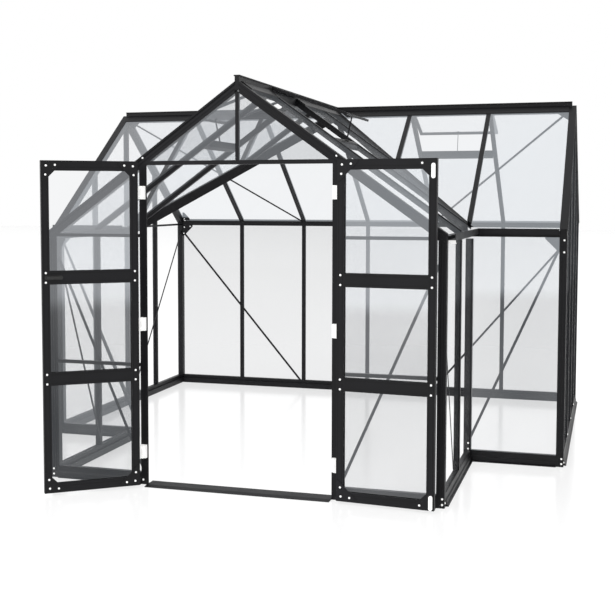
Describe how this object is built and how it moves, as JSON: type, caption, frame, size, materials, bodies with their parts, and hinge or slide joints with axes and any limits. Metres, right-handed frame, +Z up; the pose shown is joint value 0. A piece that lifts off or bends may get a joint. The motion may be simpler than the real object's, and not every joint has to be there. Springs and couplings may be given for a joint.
{
  "type": "T-shaped glass greenhouse",
  "caption": "T-plan glass greenhouse in black aluminium, with a front porch wing and two hinged glass doors standing open.",
  "frame": {"origin": "on the ground in the middle of the doorway, at the underside of the door threshold", "axes": "+X to the right seen from the front, +Y into the house, +Z up"},
  "size_m": [3.824, 4.2737, 2.552],
  "materials": {
    "frame": "satin anthracite-black powder coat on extruded aluminium",
    "glass": "clear 4 mm toughened sheet",
    "zinc_black": "black coated pressed plate and flat bar",
    "white_nylon": "white moulded nylon",
    "black_plastic": "fine-textured black"
  },
  "bodies": {
    "root": {"base_rails": "frame", "door_threshold": "frame", "corner_posts": "frame", "door_jambs": "frame", "door_header": "frame", "gable_centre_bar": "frame", "sidelight_transoms": "frame", "back_wall_bars": "frame", "gable_wall_bars": "frame", "porch_side_bars": "frame", "eave_beams": "frame", "main_ridge": "frame", "porch_ridge": "frame", "verge_bars": "frame", "valley_beams": "frame", "main_rafters": "frame", "porch_rafters": "frame", "back_wall_glass": "glass", "gable_wall_glass": "glass", "front_wall_glass": "glass", "porch_side_glass": "glass", "sidelight_glass": "glass", "porch_gable_glass": "glass", "main_roof_glass": "glass", "porch_roof_glass": "glass", "vent_sills": "frame", "vent_frames": "frame", "vent_glass": "glass", "vent_stays": "zinc_black", "wall_braces": "zinc_black", "roof_braces": "zinc_black", "corner_gussets": "zinc_black", "gutter_hooks": "white_nylon", "jamb_hinges": "white_nylon"},
    "left_door": {"left_door_stiles": "frame", "left_door_rails": "frame", "left_door_glass": "glass", "left_door_gussets": "zinc_black", "left_door_hinges": "white_nylon", "left_door_handle": "black_plastic"},
    "right_door": {"right_door_stiles": "frame", "right_door_rails": "frame", "right_door_glass": "glass", "right_door_gussets": "zinc_black", "right_door_hinges": "white_nylon", "right_door_bolts": "white_nylon"}
  },
  "joints": [
    {"name": "left_door_hinge", "type": "hinge", "parent": "root", "child": "left_door", "pos_m": [-0.62, -0.073, 1], "axis": [0, 0, -1], "range_deg": [-142, 35]},
    {"name": "right_door_hinge", "type": "hinge", "parent": "root", "child": "right_door", "pos_m": [0.62, -0.073, 1], "axis": [0, 0, 1], "range_deg": [-175, 2]}
  ]
}
